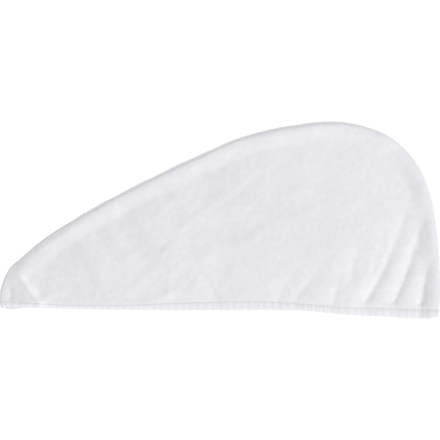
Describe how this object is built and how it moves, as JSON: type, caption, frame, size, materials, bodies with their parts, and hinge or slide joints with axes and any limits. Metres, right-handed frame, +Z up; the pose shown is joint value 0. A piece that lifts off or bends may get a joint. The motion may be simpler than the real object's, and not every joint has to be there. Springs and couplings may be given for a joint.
{
  "type": "hair turban towel",
  "caption": "Plush hair turban towel laid flat, with a rounded crown, a long tapered tail and a gathered elasticated mouth.",
  "frame": {"origin": "on the surface that the towel lies on, under the middle of its outline", "axes": "+X from the tail to the nape, +Y from the mouth to the top of the crown, +Z up from the surface"},
  "size_m": [0.6001, 0.2682, 0.0232],
  "materials": {
    "plush": "white terry pile, matte",
    "elastic_band": "white gathered band, matte"
  },
  "bodies": {
    "root": {"upper_panel": "plush", "lower_panel": "plush", "hem_band": "elastic_band"}
  },
  "joints": []
}
